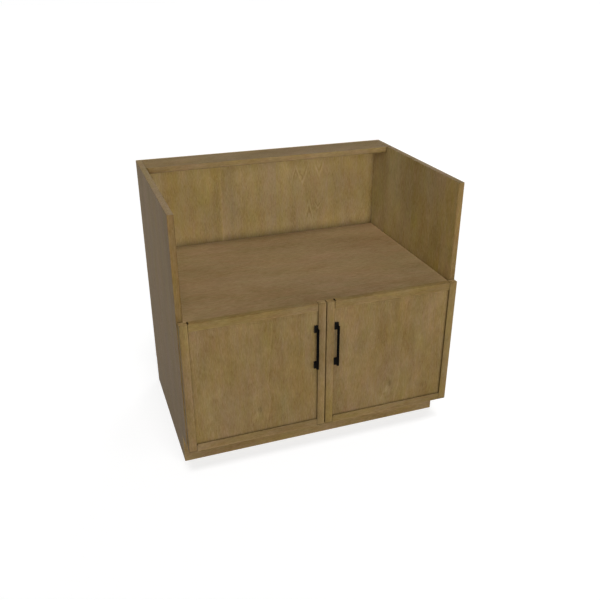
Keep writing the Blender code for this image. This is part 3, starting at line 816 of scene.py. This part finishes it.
def cross_head(shape, place, facing, radius, rise):
    """A screw head with a driver cross, standing on a surface at place and facing outwards."""
    others = set(shape.verts)
    cone = bmesh.ops.create_cone(
        shape, cap_ends=True, segments=24, radius1=radius, radius2=radius * HEAD_TOP, depth=rise)["verts"]
    faces = {face for vert in cone for face in vert.link_faces}
    top = max(faces, key=lambda face: face.calc_center_median().z)
    bmesh.ops.inset_region(
        shape, faces=[top], thickness=radius * HEAD_RIM, use_boundary=True, use_even_offset=True)
    for vert in top.verts:
        angle = math.degrees(math.atan2(vert.co.y, vert.co.x)) % 90
        off_arm = min(angle, 90 - angle)
        share = next(share for limit, share in CROSS_STEPS if off_arm < limit)
        vert.co.x *= share
        vert.co.y *= share
    sunk = bmesh.ops.extrude_discrete_faces(shape, faces=[top])["faces"][0]
    bmesh.ops.translate(shape, verts=sunk.verts, vec=(0, 0, -CROSS_DEPTH * rise))
    bmesh.ops.scale(shape, verts=sunk.verts, vec=(CROSS_FOOT, CROSS_FOOT, 1.0))
    head = [vert for vert in shape.verts if vert not in others]
    bmesh.ops.translate(shape, verts=head, vec=(0, 0, rise / 2))
    aim(shape, head, facing)
    bmesh.ops.translate(shape, verts=head, vec=place)


class CABINET_OT_finish_box(bpy.types.Operator):
    """Oak on the boards that show and plywood on the ones behind the doors"""

    bl_idname = "cabinet.finish_box"
    bl_label = "Finish the box"

    def execute(self, context):
        wood = context.scene.cabinet_wood
        for hand, inward in HANDS.items():
            dress(side_finish(wood, hand, inward), hand + "_side_panel")
        dress(back_finish(wood), "back_panel")
        dress(deck_finish(wood), "sink_deck")
        floor_oak = Oak("oak_cabinet_floor", along="X", across="Y", seed=21.0)
        dress(floor_oak.coloured(wood.deck_oak), "cabinet_floor")
        dress(top_rail_finish(wood), "back_top_rail")
        dress(toe_kick_finish(wood), "toe_kick_board")
        level_boards = plywood("plywood_front_rail", wood.birch, along="X", through="Y", seed=1.0)
        dress(level_boards, "deck_front_rail", "back_deck_cleat")
        side_cleats = plywood("plywood_side_cleat", wood.birch, along="Y", through="X", seed=4.0)
        dress(side_cleats, "left_deck_cleat", "right_deck_cleat")
        return {"FINISHED"}


class CABINET_OT_finish_doors(bpy.types.Operator):
    """Oak on both doors, with the grain along each frame piece and upright in the panels"""

    bl_idname = "cabinet.finish_doors"
    bl_label = "Finish the doors"

    def execute(self, context):
        wood = context.scene.cabinet_wood
        for hand, inward in HANDS.items():
            door = hand + "_door_"
            for word in ("hinge_stile", "meeting_stile"):
                dress(stile_finish(wood, hand, inward, word), door + word)
            for word in ("bottom_rail", "top_rail"):
                dress(door_rail_finish(wood, hand, inward, word), door + word)
            dress(panel_finish(wood, hand, inward), door + "panel")
        return {"FINISHED"}


class CABINET_OT_finish_hardware(bpy.types.Operator):
    """Black on the pulls and nickel on the hinges"""

    bl_idname = "cabinet.finish_hardware"
    bl_label = "Finish the hardware"

    def execute(self, context):
        hardware = context.scene.cabinet_hardware
        pull_low, pull_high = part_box("left_door_pull")
        black = powder_coat("black_powder_coat", hardware.black, pull_low.y + hardware.bar, pull_high.y)
        dress(black, "left_door_pull", "right_door_pull")
        nickel = plated_steel("nickel_plate", hardware.nickel)
        for hand in HANDS:
            for level in LEVELS:
                hinge = f"{hand}_{level}_hinge_"
                dress(nickel, hinge + "cup", hinge + "pin", hinge + "arm", hinge + "plate")
        return {"FINISHED"}


class CABINET_OT_add_bumpers(bpy.types.Operator):
    """Domed soft pads in the meeting corners of the doors"""

    bl_idname = "cabinet.add_bumpers"
    bl_label = "Add the door bumpers"

    def execute(self, context):
        plastic = soft_plastic("bumper_plastic", context.scene.cabinet_hardware.bumper)
        for hand in HANDS:
            for level in LEVELS:
                node = f"{hand}_door_{level}_bumper"
                shape = self.dome(*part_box(node))
                bmesh.ops.translate(shape, verts=shape.verts, vec=middle(node))
                name = f"{hand}_{level}_bumper_dome"
                pad = add_piece(name, shape, plastic, hand + "_door")
                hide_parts(node)
        return {"FINISHED"}

    def dome(self, low, high):
        """A pad as large as a box, with its rounded end to the rear."""
        radius = (high.x - low.x) / 2
        tip = radius * 0.86
        height = high.y - low.y
        rounding = height * 0.45
        shape = bmesh.new()
        bmesh.ops.create_cone(shape, cap_ends=True, segments=32, radius1=radius, radius2=tip, depth=height)
        rim = [edge for edge in shape.edges if min(vert.co.z for vert in edge.verts) > 0]
        bmesh.ops.bevel(
            shape, geom=rim, offset=rounding, segments=5, profile=0.5, affect="EDGES", material=-1)
        aim(shape, shape.verts, REAR)
        return shape


class CABINET_OT_close_pockets(bpy.types.Operator):
    """Rear skins of the small pockets at the left ends of the doors' top rails, dark with painted shade of
    the pockets' insides
    """

    bl_idname = "cabinet.close_pockets"
    bl_label = "Close the rail pockets"

    def execute(self, context):
        wood = context.scene.cabinet_wood
        size = Vector((wood.pocket_width, wood.pocket_skin, wood.pocket_depth))
        for hand, inward in HANDS.items():
            rail_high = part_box(hand + "_door_top_rail")[1]
            place = Vector((
                door_opening(hand, inward)[0] + wood.pocket_gap + size.x / 2,
                rail_high.y - size.y / 2,
                rail_high.z - wood.pocket_drop - size.z / 2))
            shape = bmesh.new()
            bmesh.ops.create_cube(shape, size=1.0)
            bmesh.ops.scale(shape, verts=shape.verts, vec=size)
            bmesh.ops.translate(shape, verts=shape.verts, vec=place)
            oak = Oak(f"oak_{hand}_pocket", along="Z", across="X", seed=61.0)
            # The skin is darkened as painted shade, for the shade deep in the pocket.
            oak.dim(share=0.58)
            name = hand + "_rail_pocket_skin"
            add_piece(name, shape, oak.coloured(wood.door_oak), hand + "_door")
        return {"FINISHED"}


class CABINET_OT_add_screws(bpy.types.Operator):
    """Cross-head screws of the hinge cups, hinge arms, mounting plates and pulls"""

    bl_idname = "cabinet.add_screws"
    bl_label = "Add the screws"

    def execute(self, context):
        hardware = context.scene.cabinet_hardware
        steel = plated_steel("screw_steel", times(hardware.nickel, 0.92, 0.92, 0.92))
        for hand, inward in HANDS.items():
            on_door = bmesh.new()
            on_box = bmesh.new()
            for level in LEVELS:
                self.fasten_hinge(hardware, f"{hand}_{level}_hinge_", inward, on_door, on_box)
            self.fasten_pull(hardware, hand + "_door_", on_door)
            add_piece(hand + "_door_screws", on_door, steel, hand + "_door")
            add_piece(hand + "_plate_screws", on_box, steel, "cabinet")
        return {"FINISHED"}

    def drive(self, hardware, shape, place, facing, shares=(1.0, 1.0)):
        """One screw; shares are its radius and height against a cup screw's."""
        cross_head(shape, place, facing, hardware.screw_head * shares[0], hardware.screw_rise * shares[1])

    def fasten_hinge(self, hardware, hinge, inward, on_door, on_box):
        """Two screws each in the cup's flange, the plate's wings and the arm."""
        cup = middle(hinge + "cup")
        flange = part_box(hinge + "cup")[1].y
        plate = middle(hinge + "plate")
        plate_low, plate_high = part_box(hinge + "plate")
        arm_low, arm_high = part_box(hinge + "arm")
        wing = plate_low.x + hardware.plate_wing if inward > 0 else plate_high.x - hardware.plate_wing
        web = arm_high.x if inward > 0 else arm_low.x
        facing = (inward, 0, 0)
        for way in (-0.5, 0.5):
            cup_z = cup.z + way * hardware.cup_screw_spacing
            plate_z = plate.z + way * hardware.plate_screw_spacing
            arm_y = plate.y + way * hardware.arm_screw_spacing
            self.drive(hardware, on_door, (cup.x, flange, cup_z), REAR)
            self.drive(hardware, on_box, (wing, plate.y, plate_z), facing, PLATE_SCREW)
            self.drive(hardware, on_box, (web, arm_y, plate.z), facing, ARM_SCREW)

    def fasten_pull(self, hardware, door, on_door):
        """Two screws through the panel into the pull's feet."""
        pull = middle(door + "pull")
        panel_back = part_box(door + "panel")[1].y
        for way in (-0.5, 0.5):
            place = (pull.x, panel_back, pull.z + way * hardware.pull_spacing)
            self.drive(hardware, on_door, place, REAR, PULL_SCREW)


class CABINET_OT_add_brads(bpy.types.Operator):
    """Small brads that hold the back panel along its edges, the deck, the floor and the top rail"""

    bl_idname = "cabinet.add_brads"
    bl_label = "Add the back brads"

    def execute(self, context):
        hardware = context.scene.cabinet_hardware
        low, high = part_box("back_panel")
        face = high.y + hardware.brad_rise
        rows = []
        for node in ("left_side_panel", "right_side_panel"):
            across = middle(node).x
            foot, top = low.z + hardware.brad_end, high.z - hardware.brad_end
            rows.append((Vector((across, face, foot)), Vector((across, face, top))))
        for node in ("cabinet_floor", "sink_deck", "back_top_rail"):
            level = middle(node).z
            left, right = low.x + hardware.brad_side, high.x - hardware.brad_side
            rows.append((Vector((left, face, level)), Vector((right, face, level))))
        tip = hardware.brad_head * 0.7
        shape = bmesh.new()
        for first, last in rows:
            count = round((last - first).length / hardware.brad_pitch)
            for step in range(count + 1):
                brad = bmesh.ops.create_cone(
                    shape, cap_ends=True, segments=10, radius1=hardware.brad_head, radius2=tip,
                    depth=hardware.brad_length)["verts"]
                aim(shape, brad, REAR)
                bmesh.ops.translate(shape, verts=brad, vec=first.lerp(last, step / count))
        steel = plated_steel("brad_steel", times(hardware.nickel, 0.75, 0.72, 0.68))
        add_piece("back_panel_brads", shape, steel, "cabinet")
        return {"FINISHED"}


class CABINET_OT_set_stage(bpy.types.Operator):
    """Pale floor, soft lamps, even sky and the camera"""

    bl_idname = "cabinet.set_stage"
    bl_label = "Set the stage"

    def execute(self, context):
        scene = context.scene
        studio = scene.cabinet_studio
        scene.view_settings.view_transform = "Standard"
        self.lay_floor(scene, studio)
        self.hang_lamps(scene, studio)
        self.paint_sky(scene, studio)
        self.place_camera(scene, studio)
        return {"FINISHED"}

    def lay_floor(self, scene, studio):
        """A plain square far wider than the view."""
        shape = bmesh.new()
        bmesh.ops.create_grid(shape, x_segments=1, y_segments=1, size=studio.floor_span / 2)
        mesh = bpy.data.meshes.new("studio_floor")
        shape.to_mesh(mesh)
        shape.free()
        mesh.materials.append(self.floor_paint(studio))
        floor = bpy.data.objects.new("studio_floor", mesh)
        scene.collection.objects.link(floor)

    def floor_paint(self, studio):
        """White to the eye, while it still takes the object's shadow."""
        finish = Finish("studio_floor_paint")
        seen = finish.seen_by_eye()
        tone = studio.floor_tone
        finish.feed(
            Base_Color=(tone, tone, tone), Roughness=0.9, Specular_IOR_Level=0.0,
            Emission_Color=finish.blend(seen, (0.0, 0.0, 0.0), (1.0, 1.0, 1.0)),
            Emission_Strength=studio.floor_lift)
        return finish.material

    def hang_lamps(self, scene, studio):
        """Soft lamps far away; the rear one leaves no glint."""
        for name, (azimuth, elevation, spread) in LAMPS.items():
            lamp = bpy.data.lights.new(name + "_lamp", "SUN")
            lamp.energy = math.pi * getattr(studio, name + "_level")
            lamp.angle = math.radians(spread)
            holder = bpy.data.objects.new(name + "_lamp", lamp)
            holder.rotation_euler = (math.radians(90 - elevation), 0, math.radians(azimuth))
            holder.visible_glossy = name != "rear"
            scene.collection.objects.link(holder)

    def paint_sky(self, scene, studio):
        """Soft light from all round, and white to the eye."""
        world = bpy.data.worlds.new("studio_sky")
        world.use_nodes = True
        scene.world = world
        nodes = Nodes(world.node_tree)
        sky = world.node_tree.nodes["Background"]
        nodes.join((1.0, 1.0, 1.0), sky.inputs["Color"])
        nodes.join(nodes.seen_by_eye() * (1.0 - studio.sky) + studio.sky, sky.inputs["Strength"])

    def place_camera(self, scene, studio):
        """The view of the photo."""
        view = bpy.data.cameras.new("photo_camera")
        view.sensor_width = SENSOR_WIDTH
        view.lens = studio.lens
        camera = bpy.data.objects.new("photo_camera", view)
        camera.location = studio.camera_place
        look = Vector(studio.camera_aim) - Vector(studio.camera_place)
        camera.rotation_euler = look.to_track_quat("-Z", "Y").to_euler()
        scene.collection.objects.link(camera)
        scene.camera = camera


class CABINET_PT_panel(bpy.types.Panel):
    """The cabinet's steps and settings"""

    bl_idname = "CABINET_PT_panel"
    bl_label = "Sink Base Cabinet"
    bl_space_type = "VIEW_3D"
    bl_region_type = "UI"
    bl_category = "Cabinet"

    def draw(self, context):
        layout = self.layout
        for step in STEPS:
            layout.operator(step.bl_idname)
        for group in SETTINGS:
            settings = getattr(context.scene, group)
            box = layout.box()
            for name in settings.__annotations__:
                box.prop(settings, name)


SETTINGS = {
    "cabinet_wood": WoodSettings,
    "cabinet_hardware": HardwareSettings,
    "cabinet_studio": StudioSettings,
}
STEPS = (
    CABINET_OT_finish_box,
    CABINET_OT_finish_doors,
    CABINET_OT_finish_hardware,
    CABINET_OT_add_bumpers,
    CABINET_OT_close_pockets,
    CABINET_OT_add_screws,
    CABINET_OT_add_brads,
    CABINET_OT_set_stage,
)


def register():
    for group in (*SETTINGS.values(), *STEPS, CABINET_PT_panel):
        bpy.utils.register_class(group)
    for name, group in SETTINGS.items():
        setattr(bpy.types.Scene, name, PointerProperty(type=group))


def unregister():
    for name in SETTINGS:
        delattr(bpy.types.Scene, name)
    for group in reversed((*SETTINGS.values(), *STEPS, CABINET_PT_panel)):
        bpy.utils.unregister_class(group)


def main():
    register()
    for step in STEPS:
        family, word = step.bl_idname.split(".")
        getattr(getattr(bpy.ops, family), word)()


if __name__ == "__main__":
    main()
